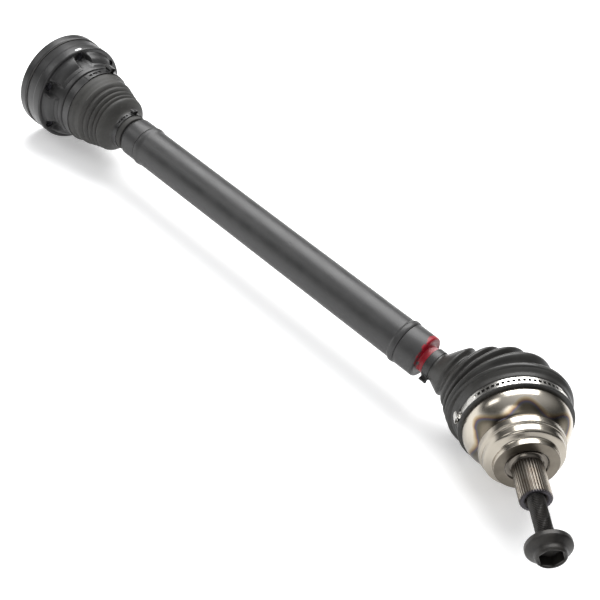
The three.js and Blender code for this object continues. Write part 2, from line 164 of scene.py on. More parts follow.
# ---------------------------------------------------------------- camera and lights
def make_camera():
    """From above and beside the wheel end, rolled so that the shaft runs corner to corner."""
    azimuth, elevation, roll = math.radians(33.6), math.radians(37.98), math.radians(15.88)
    target, distance = Vector((0.3809, -0.0390, 0.0)), 0.9314
    flat = math.cos(elevation)
    forward = Vector((-math.sin(azimuth) * flat, math.cos(azimuth) * flat, -math.sin(elevation)))
    level = forward.cross(Vector((0, 0, 1))).normalized()
    right = Matrix.Rotation(-roll, 3, forward) @ level
    up = right.cross(forward)
    camera = bpy.data.objects.new("camera", bpy.data.cameras.new("camera"))
    camera.data.lens = 66.0
    camera.data.sensor_width = 36.0
    place = target - forward * distance
    camera.matrix_world = Matrix((
        (right.x, up.x, -forward.x, place.x),
        (right.y, up.y, -forward.y, place.y),
        (right.z, up.z, -forward.z, place.z),
        (0, 0, 0, 1),
    ))
    bpy.context.collection.objects.link(camera)
    bpy.context.scene.camera = camera


def area_light(name, place, target, size, power):
    """A rectangular light at a place, facing a target."""
    light = bpy.data.objects.new(name, bpy.data.lights.new(name, "AREA"))
    light.data.shape = "RECTANGLE"
    light.data.size, light.data.size_y = size
    light.data.energy = power
    direction = Vector(target) - Vector(place)
    light.rotation_euler = direction.to_track_quat("-Z", "Y").to_euler()
    light.location = place
    bpy.context.collection.objects.link(light)


def make_studio():
    """A dark room with a big softbox overhead, so that steel and satin paint show light and shade."""
    world = bpy.data.worlds.new("studio")
    bpy.context.scene.world = world
    world.use_nodes = True
    tree = world.node_tree
    background = tree.nodes["Background"]
    direction = node(tree, "ShaderNodeTexCoord").outputs["Generated"]
    height = node(tree, "ShaderNodeSeparateXYZ", {0: direction}).outputs["Z"]
    room = ramp(tree, height, (
        (0.0, grey(0.8)), (0.04, grey(0.7)), (0.12, grey(0.06)),
        (0.33, grey(0.08)), (0.55, grey(0.30)), (1.0, (0.84, 0.85, 0.87)),
    ))
    tree.links.new(room, background.inputs["Color"])
    background.inputs["Strength"].default_value = 1.0
    area_light("overhead_softbox", (-0.2, 0.62, 1.35), (0.35, 0, 0), (1.7, 1.2), 44)
    area_light("front_card", (1.3, -1.5, 0.9), (0.4, 0, 0), (0.7, 0.9), 5)
    area_light("left_card", (-0.9, -1.0, 1.1), (0.2, 0, 0), (0.7, 0.7), 5)
    bpy.context.scene.view_settings.view_transform = "Standard"
    bpy.context.scene.view_settings.look = "None"


# ---------------------------------------------------------------- material tools
def node(tree, kind, inputs=None, **settings):
    """A new shader node; each input is a socket to link or a value to set."""
    made = tree.nodes.new(kind)
    for key, value in settings.items():
        setattr(made, key, value)
    for key, value in (inputs or {}).items():
        if isinstance(value, bpy.types.NodeSocket):
            tree.links.new(value, made.inputs[key])
        else:
            made.inputs[key].default_value = value
    return made


def calc(tree, operation, first, second=0.0, clamp=False):
    values = {0: first, 1: second}
    return node(tree, "ShaderNodeMath", values, operation=operation, use_clamp=clamp).outputs[0]


def noise(tree, vector, scale, detail=3.0, roughness=0.55):
    inputs = {"Vector": vector, "Scale": scale, "Detail": detail, "Roughness": roughness}
    return node(tree, "ShaderNodeTexNoise", inputs).outputs["Fac"]


def stretched(tree, vector, factors):
    return node(tree, "ShaderNodeMapping", {"Vector": vector, "Scale": factors}).outputs["Vector"]


def ramp(tree, factor, stops):
    """A colour ramp through (position, colour) stops."""
    made = node(tree, "ShaderNodeValToRGB", {"Fac": factor})
    points = made.color_ramp.elements
    while len(points) < len(stops):
        points.new(0.5)
    for point, (position, colour) in zip(points, stops):
        point.position = position
        point.color = (*colour, 1) if len(colour) == 3 else colour
    return made.outputs["Color"]


def grey(value):
    return (value, value, value)


def mix(tree, factor, first, second):
    made = node(tree, "ShaderNodeMix", data_type="RGBA")
    for socket, value in ((made.inputs[0], factor), (made.inputs[6], first), (made.inputs[7], second)):
        if isinstance(value, bpy.types.NodeSocket):
            tree.links.new(value, socket)
        elif socket is made.inputs[0]:
            socket.default_value = value
        else:
            socket.default_value = (*value, 1)
    return made.outputs[2]


def bump(tree, height, distance, strength=1.0, normal=None):
    inputs = {"Height": height, "Distance": distance, "Strength": strength}
    if normal is not None:
        inputs["Normal"] = normal
    return node(tree, "ShaderNodeBump", inputs).outputs["Normal"]


def rescale(tree, value, low, high, start=0.0, end=1.0):
    """Takes low to start and high to end, and stops there."""
    inputs = {"Value": value, "From Min": low, "From Max": high, "To Min": start, "To Max": end}
    return node(tree, "ShaderNodeMapRange", inputs).outputs["Result"]


def new_material(name, metallic=0.0, **fixed):
    """A material with its shader, its tree and its object coordinates."""
    material = bpy.data.materials.new(name)
    material.use_nodes = True
    tree = material.node_tree
    shader = tree.nodes["Principled BSDF"]
    shader.inputs["Metallic"].default_value = metallic
    for key, value in fixed.items():
        shader.inputs[key.replace("_", " ")].default_value = value
    return material, tree, shader, node(tree, "ShaderNodeTexCoord").outputs["Object"]


def attach(tree, shader, colour=None, roughness=None, normal=None):
    sockets = (("Base Color", colour), ("Roughness", roughness), ("Normal", normal))
    for name, socket in sockets:
        if socket is not None:
            tree.links.new(socket, shader.inputs[name])


def around_axis(tree, coordinates):
    """Distance along X, radius and angle about X, all from object coordinates."""
    parts = node(tree, "ShaderNodeSeparateXYZ", {0: coordinates}).outputs
    squares = calc(tree, "ADD", calc(tree, "POWER", parts["Y"], 2), calc(tree, "POWER", parts["Z"], 2))
    radius = calc(tree, "SQRT", squares)
    angle = calc(tree, "ARCTAN2", parts["Y"], parts["Z"])
    return parts["X"], radius, angle


# ---------------------------------------------------------------- materials
def painted_black(name, tone, gloss, pits=0.0):
    """Satin black paint: slight mottling, orange peel, dust, and shallow pits where asked."""
    material, tree, shader, where = new_material(name, Specular_IOR_Level=0.42)
    cloud = noise(tree, where, 45, 4)
    fine = noise(tree, where, 900, 2)
    colour = ramp(tree, cloud, ((0.3, grey(tone * 0.8)), (0.7, (tone * 1.22, tone * 1.2, tone * 1.2))))
    dust = rescale(tree, noise(tree, where, 420, 5, 0.7), 0.62, 0.78)
    colour = mix(tree, calc(tree, "MULTIPLY", dust, 0.25, clamp=True), colour, grey(tone * 3.2))
    roughness = rescale(tree, cloud, 0.3, 0.7, gloss - 0.05, gloss + 0.07)
    normal = bump(tree, fine, 0.00006, 0.5)
    if pits:
        cells = node(tree, "ShaderNodeTexVoronoi", {"Vector": where, "Scale": 130.0, "Randomness": 1.0})
        hollow = rescale(tree, cells.outputs["Distance"], 0.05, 0.16)
        rare = rescale(tree, noise(tree, where, 60, 1), 0.52, 0.6)
        depth = calc(tree, "MULTIPLY", calc(tree, "SUBTRACT", 1.0, hollow, clamp=True), rare, clamp=True)
        normal = bump(tree, calc(tree, "SUBTRACT", 1.0, depth), 0.00012 * pits, 0.8, normal)
    attach(tree, shader, colour, roughness, normal)
    return material, tree, shader, where


def flange_paint():
    """The joint's black coating, with the inspector's white dab on the flange's edge."""
    material, tree, shader, where = painted_black("joint_black", 0.02, 0.36, 0.6)
    along, _, angle = around_axis(tree, where)
    dab_angle = math.radians(BOLT_ANGLE - 60 + 0.6)
    sideways = calc(tree, "MULTIPLY", calc(tree, "SUBTRACT", angle, dab_angle), 0.0495)
    lengthways = calc(tree, "SUBTRACT", along, 0.0269)
    wobble = calc(tree, "MULTIPLY", calc(tree, "SUBTRACT", noise(tree, where, 700), 0.5), 0.0012)
    lengthways = calc(tree, "ADD", lengthways, wobble)
    shape = calc(tree, "ADD", calc(tree, "POWER", calc(tree, "DIVIDE", sideways, 0.0036), 4),
                 calc(tree, "POWER", calc(tree, "DIVIDE", lengthways, 0.0013), 4))
    inside = rescale(tree, shape, 0.8, 1.2, 1, 0)
    old = shader.inputs["Base Color"].links[0].from_socket
    attach(tree, shader, colour=mix(tree, inside, old, grey(0.85)))
    return material


def stub_paint():
    """Black paint with the red band of paint that runs over the shank and up the tube's edge."""
    material, tree, shader, where = painted_black("stub_paint", 0.035, 0.42, 1.0)
    along, _, angle = around_axis(tree, where)
    ragged = calc(tree, "MULTIPLY", calc(tree, "SUBTRACT", noise(tree, where, 110, 3), 0.5), 0.010)
    top = calc(tree, "COSINE", calc(tree, "SUBTRACT", angle, 0.5))
    reach = calc(tree, "ADD", calc(tree, "ADD", along, ragged), calc(tree, "MULTIPLY", top, 0.0032))
    red_zone = rescale(tree, reach, 0.4897, 0.4905)
    # Painted highlight: patchy pale pink on the top of the red shank, where the overhead light falls.
    patchy = rescale(tree, noise(tree, where, 130, 2), 0.42, 0.66)
    lightened = calc(tree, "MULTIPLY", patchy, rescale(tree, top, 0.55, 0.95))
    lightened = calc(tree, "MULTIPLY", lightened, rescale(tree, along, 0.4915, 0.4930))
    red = mix(tree, noise(tree, where, 80, 3), (0.17, 0.0, 0.006), (0.34, 0.0, 0.014))
    red = mix(tree, calc(tree, "MULTIPLY", lightened, 0.6), red, (0.62, 0.34, 0.36))
    old = shader.inputs["Base Color"].links[0].from_socket
    attach(tree, shader, colour=mix(tree, red_zone, old, red))
    return material


def rubber(name, tone, gloss, scale):
    """Matt rubber or plastic, mottled, with a pale bloom in faint streaks."""
    material, tree, shader, where = new_material(name, Specular_IOR_Level=0.45)
    cloud = noise(tree, where, 70, 4)
    streaks = noise(tree, stretched(tree, where, (260, 40, 40)), 6, 3)
    dark, pale = (tone * 0.84, tone * 0.82, tone * 0.76), (tone * 1.34, tone * 1.3, tone * 1.18)
    colour = ramp(tree, cloud, ((0.3, dark), (0.72, pale)))
    bloom = rescale(tree, streaks, 0.55, 0.75)
    colour = mix(tree, calc(tree, "MULTIPLY", bloom, 0.22, clamp=True), colour, grey(tone * 3))
    roughness = rescale(tree, cloud, 0.3, 0.7, gloss - 0.05, gloss + 0.08)
    attach(tree, shader, colour, roughness, bump(tree, noise(tree, where, scale, 3), 0.00005, 0.6))
    return material


def turned_steel(name, tone, gloss, rings=0.6):
    """Bare turned steel: fine grooves round the axis, smears and small variations in gloss."""
    material, tree, shader, where = new_material(name, metallic=1.0)
    along, radius, angle = around_axis(tree, where)
    profile = calc(tree, "ADD", along, calc(tree, "MULTIPLY", radius, 1.7))
    turned = calc(tree, "MULTIPLY", angle, 0.0006)
    line = node(tree, "ShaderNodeCombineXYZ", {0: profile, 1: 0.0, 2: turned}).outputs[0]
    groove = noise(tree, line, 2600, 3, 0.7)
    smear = noise(tree, where, 38, 4)
    colour = ramp(tree, smear, ((0.3, tuple(c * 0.86 for c in tone)), (0.7, tone)))
    spread = calc(tree, "ADD", calc(tree, "MULTIPLY", groove, 0.10), calc(tree, "MULTIPLY", smear, 0.12))
    roughness = calc(tree, "ADD", spread, gloss - 0.1)
    attach(tree, shader, colour, roughness, bump(tree, groove, 0.00003 * rings, 0.5))
    return material, tree, shader, where


def bell_steel():
    """The bell's steel with six heat spots from hardening the ball tracks, joined by a brown band."""
    material, tree, shader, where = turned_steel("bell_steel", BELL_TONE, 0.2)
    along, radius, angle = around_axis(tree, where)
    spot_turn = math.radians(-12)
    turns = calc(tree, "DIVIDE", calc(tree, "SUBTRACT", angle, spot_turn), TURN / BALLS)
    offset = calc(tree, "SUBTRACT", turns, calc(tree, "ROUND", turns))
    sideways = calc(tree, "MULTIPLY", calc(tree, "MULTIPLY", offset, TURN / BALLS), radius)
    wobble = calc(tree, "MULTIPLY", calc(tree, "SUBTRACT", noise(tree, where, 90, 3), 0.5), 0.003)
    spread = calc(tree, "POWER", calc(tree, "DIVIDE", calc(tree, "ADD", sideways, wobble), 0.0112), 2)
    arch = calc(tree, "EXPONENT", calc(tree, "MULTIPLY", spread, -1.0))
    rim = calc(tree, "SUBTRACT", 0.0185, calc(tree, "MULTIPLY", arch, 0.0078))
    depth = calc(tree, "ADD", calc(tree, "SUBTRACT", along, rim), calc(tree, "MULTIPLY", wobble, 0.6))
    past = rescale(tree, along, 0.0203, 0.0196)
    heat = calc(tree, "MULTIPLY", rescale(tree, depth, -0.0032, 0.0054), past)
    tint = ramp(tree, heat, (
        (0.0, BELL_TONE), (0.22, (0.38, 0.31, 0.21)), (0.38, (0.20, 0.14, 0.085)),
        (0.46, (0.115, 0.075, 0.08)), (0.52, (0.07, 0.072, 0.11)), (0.58, (0.078, 0.076, 0.075)),
        (0.72, (0.085, 0.074, 0.054)), (1.0, (0.15, 0.13, 0.10)),
    ))
    old = shader.inputs["Base Color"].links[0].from_socket
    colour = mix(tree, rescale(tree, heat, 0.0, 0.12), old, tint)
    hub = rescale(tree, along, 0.0198, 0.0206)
    face = rescale(tree, along, 0.04095, 0.0412)
    # Painted shade: the counterbore inside the end face is darkened.
    recess_shade = calc(tree, "MULTIPLY", rescale(tree, radius, 0.0176, 0.0168),
                  rescale(tree, along, 0.0385, 0.0395))
    stain = noise(tree, where, 120, 4)
    hub_tone = mix(tree, stain, (0.24, 0.215, 0.175), (0.36, 0.33, 0.285))
    face_tone = mix(tree, stain, (0.10, 0.088, 0.07), (0.19, 0.168, 0.138))
    colour = mix(tree, calc(tree, "MULTIPLY", hub, 0.55), colour, hub_tone)
    colour = mix(tree, calc(tree, "MULTIPLY", face, 0.9), colour, face_tone)
    colour = mix(tree, calc(tree, "MULTIPLY", recess_shade, 0.8), colour, (0.09, 0.08, 0.07))
    gloss = shader.inputs["Roughness"].links[0].from_socket
    gloss = calc(tree, "ADD", gloss, calc(tree, "MULTIPLY", face, 0.12))
    attach(tree, shader, colour=colour, roughness=gloss)
    return material


def spline_steel():
    """Bare teeth with brown oxide low down and a blued, hardened tip."""
    material, tree, shader, where = turned_steel("spline_steel", SPLINE_TONE, 0.42, 0.4)
    along, radius, _ = around_axis(tree, where)
    tip = rescale(tree, along, (STUB_END - 2.2) * MM, (STUB_END - 0.6) * MM)
    brown = rescale(tree, noise(tree, where, 150, 4), 0.42, 0.68)
    old = shader.inputs["Base Color"].links[0].from_socket
    aged = mix(tree, calc(tree, "MULTIPLY", brown, 0.6), old, (0.13, 0.10, 0.075))
    valley = rescale(tree, radius, SPLINE_R * MM, SPLINE_ROOT_R * MM)
    aged = mix(tree, calc(tree, "MULTIPLY", valley, 0.55, clamp=True), aged, (0.10, 0.08, 0.065))
    blued = mix(tree, calc(tree, "MULTIPLY", tip, 0.8), aged, (0.045, 0.045, 0.058))
    attach(tree, shader, colour=blued)
    return material


def stainless_band():
    """Bright band steel, brushed round the hoop."""
    material, tree, shader, where = new_material("stainless", metallic=1.0)
    along, radius, angle = around_axis(tree, where)
    turned = calc(tree, "MULTIPLY", angle, 0.001)
    line = node(tree, "ShaderNodeCombineXYZ", {0: along, 1: radius, 2: turned}).outputs[0]
    brushed = noise(tree, line, 5200, 2, 0.6)
    smear = noise(tree, where, 60, 3)
    colour = ramp(tree, smear, ((0.3, (0.62, 0.60, 0.56)), (0.7, (0.80, 0.79, 0.76))))
    roughness = calc(tree, "ADD", calc(tree, "MULTIPLY", brushed, 0.14), 0.16)
    attach(tree, shader, colour, roughness, bump(tree, brushed, 0.00002, 0.4))
    return material


def clamp_coating():
    """Black band steel, rubbed to a lighter grey along its edges by the crimping tool."""
    material, tree, shader, where = painted_black("clamp_black", 0.022, 0.34)
    wear = rescale(tree, noise(tree, where, 300, 4, 0.7), 0.55, 0.7)
    edge = node(tree, "ShaderNodeNewGeometry").outputs["Pointiness"]
    raised = rescale(tree, edge, 0.52, 0.6)
    old = shader.inputs["Base Color"].links[0].from_socket
    lightened = calc(tree, "ADD", calc(tree, "MULTIPLY", wear, 0.3), raised, clamp=True)
    lightened = calc(tree, "MULTIPLY", lightened, 0.3, clamp=True)
    attach(tree, shader, colour=mix(tree, lightened, old, (0.20, 0.19, 0.18)))
    return material


def phosphate():
    """Black phosphate on the bolt, mottled, slightly metallic."""
    material, tree, shader, where = new_material("bolt_black", metallic=0.35)
    cloud = noise(tree, where, 130, 5, 0.6)
    colour = ramp(tree, cloud, ((0.3, (0.014, 0.013, 0.012)), (0.7, (0.036, 0.033, 0.029))))
    roughness = rescale(tree, cloud, 0.3, 0.7, 0.36, 0.5)
    attach(tree, shader, colour, roughness, bump(tree, noise(tree, where, 1400, 2), 0.00004, 0.5))
    return material


def floor_material():
    """A pale table, faintly lit from within so that shadows stay soft."""
    material, tree, shader, where = new_material("pale_floor", Specular_IOR_Level=0.2)
    cloud = noise(tree, where, 2.0, 2)
    pale = ramp(tree, cloud, ((0.3, grey(0.86)), (0.7, grey(0.88))))
    attach(tree, shader, pale)
    tree.links.new(pale, shader.inputs["Emission Color"])
    shader.inputs["Emission Strength"].default_value = 0.4
    shader.inputs["Roughness"].default_value = 0.7
    return material


# ---------------------------------------------------------------- mesh tools
def mesh_object(name, points, faces, material, place=SHAFT_FRAME, sharp=35):
    """A piece from points in millimetres, smooth but for edges sharper than a given angle."""
    mesh = bpy.data.meshes.new(name)
    mesh.from_pydata([tuple(c * MM for c in point) for point in points], [], faces)
    mesh.validate()
    mesh.shade_smooth()
    mesh.set_sharp_from_angle(angle=math.radians(sharp))
    mesh.materials.append(material)
    piece = bpy.data.objects.new(name, mesh)
    bpy.context.collection.objects.link(piece)
    piece.matrix_world = place
    return piece


def rounded(points, steps=4):
    """Rounds each corner of an outline that gives a third number, the length taken from each side."""
    outline = []
    for i, point in enumerate(points):
        size = point[2] if len(point) > 2 else 0
        if not size:
            outline.append(tuple(point[:2]))
            continue
        here = Vector(point[:2])
        before = Vector(points[i - 1][:2]) - here
        after = Vector(points[(i + 1) % len(points)][:2]) - here
        start = here + before.normalized() * min(size, before.length * 0.49)
        end = here + after.normalized() * min(size, after.length * 0.49)
        for step in range(steps + 1):
            t = step / steps
            outline.append(tuple(start * (1 - t) ** 2 + here * 2 * t * (1 - t) + end * t * t))
    return outline


def loft(rings, closed):
    """Points and faces through rings of equal count; a ring of one point is a pole."""
    points, starts, faces = [], [], []
    for ring in rings:
        starts.append((len(points), len(ring)))
        points.extend(ring)
    pairs = list(zip(starts, starts[1:]))
    if closed:
        pairs.append((starts[-1], starts[0]))
    for (a, a_count), (b, b_count) in pairs:
        count = max(a_count, b_count)
        for k in range(count):
            n = (k + 1) % count
            corners = [a + k % a_count, b + k % b_count, b + n % b_count, a + n % a_count]
            kept = [c for i, c in enumerate(corners) if c not in corners[:i]]
            if len(kept) > 2:
                faces.append(kept)
    return points, faces


def revolve(name, outline, material, place=SHAFT_FRAME, count=128, shape=None, closed=False, sharp=35):
    """An outline of (along, radius) turned about X. shape(along, radius, angle) may move each point."""
    rings = []
    for along, radius in outline:
        if radius < 1e-6:
            rings.append([(along, 0.0, 0.0)])
            continue
        ring = []
        for k in range(count):
            angle = TURN * k / count
            x, r = shape(along, radius, angle) if shape else (along, radius)
            ring.append((x, r * math.sin(angle), r * math.cos(angle)))
        rings.append(ring)
    points, faces = loft(rings, closed)
    return mesh_object(name, points, faces, material, place, sharp)


def smooth(value, low, high):
    """0 at low and 1 at high, with a soft start and end."""
    t = min(max((value - low) / (high - low), 0.0), 1.0)
    return t * t * (3 - 2 * t)


def wave(extremes, steps=7):
    """A smooth outline through its peaks and valleys."""
    outline = []
    for (x0, r0), (x1, r1) in zip(extremes, extremes[1:]):
        for step in range(steps):
            t = step / steps
            outline.append((x0 + (x1 - x0) * t, r0 + (r1 - r0) * (1 - math.cos(math.pi * t)) / 2))
    outline.append(extremes[-1])
    return outline


def apply_boolean(piece, cutter, operation):
    """Cuts the piece's own mesh with the cutter, which is used up."""
    modifier = piece.modifiers.new("cut", "BOOLEAN")
    modifier.object = cutter
    modifier.operation = operation
    modifier.solver = "EXACT"
    bpy.context.view_layer.update()
    mesh = bpy.data.meshes.new_from_object(piece.evaluated_get(bpy.context.evaluated_depsgraph_get()))
    piece.modifiers.clear()
    piece.data = mesh
    bpy.data.objects.remove(cutter)


def cut_by_plane(piece, point, normal, operation):
    """Keeps the side of the plane that the normal points to (INTERSECT) or the other one (DIFFERENCE)."""
    place = Matrix.Translation(point) @ Vector((1, 0, 0)).rotation_difference(normal).to_matrix().to_4x4()
    block = revolve("block", [(0, 0), (0, 300), (300, 300), (300, 0)], piece.data.materials[0], place, 24)
    apply_boolean(piece, block, operation)
    piece.data.shade_smooth()
    piece.data.set_sharp_from_angle(angle=math.radians(50))
    return piece


def cut_bolt_holes(piece, start, end):
    """Six real holes round the flange."""
    length = end - start
    for i in range(BALLS):
        angle = math.radians(BOLT_ANGLE + i * 360 / BALLS)
        centre = Vector(((start + end) / 2, BOLT_CIRCLE_R * math.sin(angle), BOLT_CIRCLE_R * math.cos(angle)))
        rim = [(-length / 2, BOLT_HOLE_R), (length / 2, BOLT_HOLE_R)]
        outline = [(-length / 2, 0.0), *rim, (length / 2, 0.0)]
        cutter = revolve("cutter", outline, piece.data.materials[0], Matrix.Translation(centre * MM), 40)
        apply_boolean(piece, cutter, "DIFFERENCE")
    piece.data.shade_smooth()
    piece.data.set_sharp_from_angle(angle=math.radians(30))


def finish(piece, body, slot, *nodes):
    """Rides a rigid piece on its body, in place of its CAD nodes. The slot is not used."""
    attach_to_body(piece, body)
    if nodes:
        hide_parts(*nodes)
    return piece


def ribbon(name, path, across, thickness, material, place=SHAFT_FRAME, keep=None, taper=None):
    """A strip bent round X. The path gives (degrees, radius) of its middle, across the stations along X.

    keep(i, j) tells whether cell i along, j across is there; taper(i) narrows the strip at row i.
    """
    spots = [Vector((r * math.sin(math.radians(a)), r * math.cos(math.radians(a)))) for a, r in path]
    middle = (across[0] + across[-1]) / 2
    points, index = [], {}
    for i, spot in enumerate(spots):
        tangent = (spots[min(i + 1, len(spots) - 1)] - spots[max(i - 1, 0)]).normalized()
        normal = Vector((-tangent.y, tangent.x))
        narrow = taper(i) if taper else 1.0
        for j, x in enumerate(across):
            for side in (0, 1):
                offset = spot + normal * thickness * (side - 0.5)
                index[i, j, side] = len(points)
                points.append((middle + (x - middle) * narrow, offset.x, offset.y))

    def there(i, j):
        return 0 <= i < len(path) - 1 and 0 <= j < len(across) - 1 and (keep is None or keep(i, j))

    faces = []
    for i in range(len(path) - 1):
        for j in range(len(across) - 1):
            if not there(i, j):
                continue
            corners = ((i, j), (i + 1, j), (i + 1, j + 1), (i, j + 1))
            faces.append([index[c[0], c[1], 1] for c in corners])
            faces.append([index[c[0], c[1], 0] for c in reversed(corners)])
            edges = (((i, j - 1), corners[0], corners[1]), ((i + 1, j), corners[1], corners[2]),
                     ((i, j + 1), corners[2], corners[3]), ((i - 1, j), corners[3], corners[0]))
            for beyond, first, second in edges:
                if not there(*beyond):
                    rim = ((first, 1), (first, 0), (second, 0), (second, 1))
                    faces.append([index[corner + (side,)] for corner, side in rim])
    used = sorted({corner for face in faces for corner in face})
    renumber = {old: new for new, old in enumerate(used)}
    points = [points[old] for old in used]
    faces = [[renumber[corner] for corner in face] for face in faces]
    return mesh_object(name, points, faces, material, place, 40)


def hoop(radius, start, end, step=3.0):
    """Path points round a circle from one angle to another."""
    count = max(2, round(abs(end - start) / step))
    return [(start + (end - start) * k / count, radius) for k in range(count + 1)]


def crimped_ear(radius, angle, height, reach):
    """The pinched loop of a boot clamp: up, out, over and down again. Reach is half its width in degrees."""
    side = (
        (1.25, 0), (0.82, 0), (0.6, 0.08), (0.5, 0.25), (0.52, 0.42),
        (0.7, 0.6), (0.84, 0.78), (0.72, 0.93), (0.4, 1.0),
    )
    left = [(angle - x * reach, radius + y * height) for x, y in side]
    right = [(angle + x * reach, radius + y * height) for x, y in reversed(side)]
    return left + right


def join(first, *others):
    """Makes one mesh of several pieces in the same place."""
    bpy.ops.object.select_all(action="DESELECT")
    for piece in (first, *others):
        piece.select_set(True)
    bpy.context.view_layer.objects.active = first
    bpy.ops.object.join()
    return first


# ---------------------------------------------------------------- shaft
def make_shaft(paint, end_paint):
    """The tube with its two collars, and the stub shaft welded to each end."""
    start, end, collar = TUBE_START, TUBE_END, COLLAR_R
    outside = [
        (start, 18.4, 0.3), (start, 19.3, 0.4), (start + 1.2, collar - 0.2, 0.8),
        (start + 3.6, collar - 0.2, 1.2), (start + 7.2, TUBE_R + 0.1, 1.6), (end - 6.6, TUBE_R, 1.0),
        (end - 4.8, collar - 0.1, 0.8), (end - 1.6, collar - 0.1, 1.0), (end, 19.3, 0.4), (end, 18.4, 0.2),
    ]
    inside = [(end, TUBE_BORE_R), (start, TUBE_BORE_R)]
    tube = revolve("drive_tube", rounded(outside + inside), paint, closed=True, count=160)
    finish(tube, "shaft", "tube_paint", "shaft_tube")

    inner = [
        (11.2, 0), (11.2, 9.8), (12, 10.6), (13.2, 10.6), (13.2, 12, 0.3), (30, 12), (31, 11.6),
        (95, 11.6), (98, 15.3, 1), (115.4, 15.3, 1), (116.6, 13.6, 1), (117.8, 13.6, 0.5),
        (117.8, 16.8, 1.0), (118.5, END_PIECE_R, 1.6), (start - WELD_GAP, END_PIECE_R, 0.25),
        (start - WELD_GAP, 12), (128, 9), (128, 0),
    ]
    inner_stub = revolve("inner_stub", rounded(inner), paint, count=128)
    finish(inner_stub, "shaft", "tube_paint", "inner_stub_shaft")

    nose = STUB_SHAFT_END
    shoulder = OUTER.x / MM - 15
    outer = [
        (480, 0), (480, 9), (end + WELD_GAP, 12), (end + WELD_GAP, END_PIECE_R, 0.25),
        (490.3, END_PIECE_R, 1.8), (491.2, 16.4, 1.2), (490.4, 13.6, 1.2), (491.4, SHANK_R, 0.8),
        (BOOT_START - 2, SHANK_R), (BOOT_START - 1, 11), (shoulder - 5, 11), (shoulder - 3, 13),
        (shoulder, 13), (shoulder, 11.6), (nose - 2.2, 11.6), (nose - 2.2, 10.6),
        (nose - 0.8, 10.6), (nose - 0.8, 11.2), (nose, 10.2), (nose, 0),
    ]
    outer_stub = revolve("outer_stub", rounded(outer), end_paint, count=128)
    finish(outer_stub, "shaft", "tube_paint", "outer_stub_shaft")


# ---------------------------------------------------------------- inner joint
def make_inner_joint(paint, gasket_material):
    """The end cap, the gasket and the stamped boot flange round the outer race."""
    rim = CAP_R
    cap = [
        (0, 0), (0, 23.5, 0.8), (0.9, 25.6, 1.0), (0.9, 33.2, 1.0), (0, 35.2, 0.8),
        (0, rim - 0.1, 0.8), (1.2, rim, 0.5), (CAP_END - 1.2, rim, 0.5), (CAP_END, rim - 0.9, 0.6),
        (CAP_END, RACE_CLEAR_R), (1.6, RACE_CLEAR_R), (1.6, 0),
    ]
    cover = revolve("joint_end_cap", rounded(cap), paint, count=192)
    cut_bolt_holes(cover, -2, 5)
    finish(cover, "gearbox_flange", "joint_black", "inner_end_cap")

    seal = [
        (GASKET_START, RACE_CLEAR_R), (GASKET_START, GASKET_R - 0.3, 0.3),
        (GASKET_END, GASKET_R - 0.3, 0.3), (GASKET_END, RACE_CLEAR_R),
    ]
    gasket = revolve("joint_gasket", rounded(seal), gasket_material, closed=True, count=160)
    finish(gasket, "gearbox_flange", "boot_rubber", "inner_gasket")

    def flared(along, radius, angle):
        """The neck flares out to the rim, but for a flat pressed round each bolt hole."""
        if not (SHEET_FACE - 0.1 <= along <= FLARE_END and 38.1 <= radius <= FLARE[-1][0]):
            return along, radius
        if radius > FLARE_R:
            for (r0, x0), (r1, x1) in zip(FLARE, FLARE[1:]):
                if r0 <= radius <= r1:
                    there = (x0 + (x1 - x0) * (radius - r0) / (r1 - r0), radius)
        else:
            rise = (along - NECK_FOOT) / (FLARE_END - NECK_FOOT)
            there = (
                FLARE_FOOT + rise * (FLARE_END - FLARE_FOOT),
                39.4 - 0.95 * smooth(along, NECK_FOOT, FLARE_END),
            )
        nearest = math.radians((math.degrees(angle) - BOLT_ANGLE + 30) % 60 - 30)
        distance = math.hypot(radius * math.sin(nearest), radius * math.cos(nearest) - BOLT_CIRCLE_R)
        share = smooth(distance, SCALLOP_R - 1.8, SCALLOP_R + 1.2)
        return along + (there[0] - along) * share, radius + (there[1] - radius) * share

    outside = [(FLANGE_START, RACE_CLEAR_R), (FLANGE_START, 49.3, 0.2)]
    outside += [(19.8, 49.3, 0.4), (20.6, 49.6, 0.4), (28.4, 49.6, 0.7), (SHEET_FACE, 48.5, 0.5)]
    outside += [(SHEET_FACE, 48.0 - 0.35 * k) for k in range(24)]
    outside += [(29.75, 39.65), (30.1, 39.5), (30.6, 39.4), (31.2, 39.25)]
    outside += [(32, 39.1), (33, 38.9), (34.2, 38.7), (35.4, 38.55)]
    outside += [(36.6 + 1.2 * k, 38.45 - 0.07 * k) for k in range(9)]
    outside += [(48.4, NECK_R, 0.5), (49.3, 35.8, 0.5), (50.2, 34.6, 0.5), (59.8, 34.6, 0.4), (60.4, 33.9)]
    inside = [(60.4, 33.2), (49.6, 33.2), (48.6, 34.2), (47.8, 36.4), (34.4, 37.2), (30, 38.2)]
    inside += [(28.3, 40.2), (28.3, RACE_CLEAR_R)]
    sheet = revolve("boot_flange", rounded(outside + inside, 3), paint, closed=True, count=420, shape=flared)
    cut_bolt_holes(sheet, 20, 40)
    finish(sheet, "gearbox_flange", "joint_black", "inner_boot_flange")


